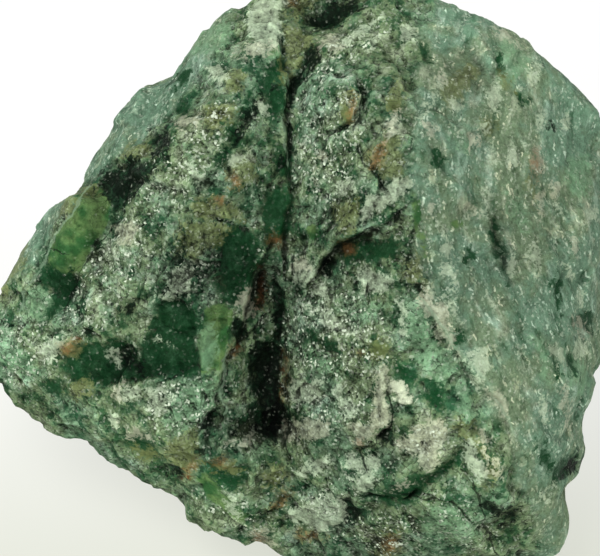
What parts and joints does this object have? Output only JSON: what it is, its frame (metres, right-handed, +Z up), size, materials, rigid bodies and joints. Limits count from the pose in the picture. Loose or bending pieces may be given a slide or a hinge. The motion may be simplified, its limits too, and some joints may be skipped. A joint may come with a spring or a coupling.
{
  "type": "rough jade stone",
  "caption": "Rough broken lump of green jade, wider than it is tall, with a deep cleft between two lobes, ledges, pits and a flat break underneath to rest on.",
  "frame": {"origin": "on the ground under the middle of the stone's bounding box", "axes": "+Z up from the flat break it rests on, +X across the broad broken face from the pointed end to the blunt end, -Y towards the side that the broad face leans to"},
  "size_m": [0.0784, 0.0674, 0.0496],
  "materials": {
    "jade": "fresh granular break, sugary to waxy, with dark, pale and ochre patches"
  },
  "bodies": {
    "root": {"jade_stone": "jade"}
  },
  "joints": []
}
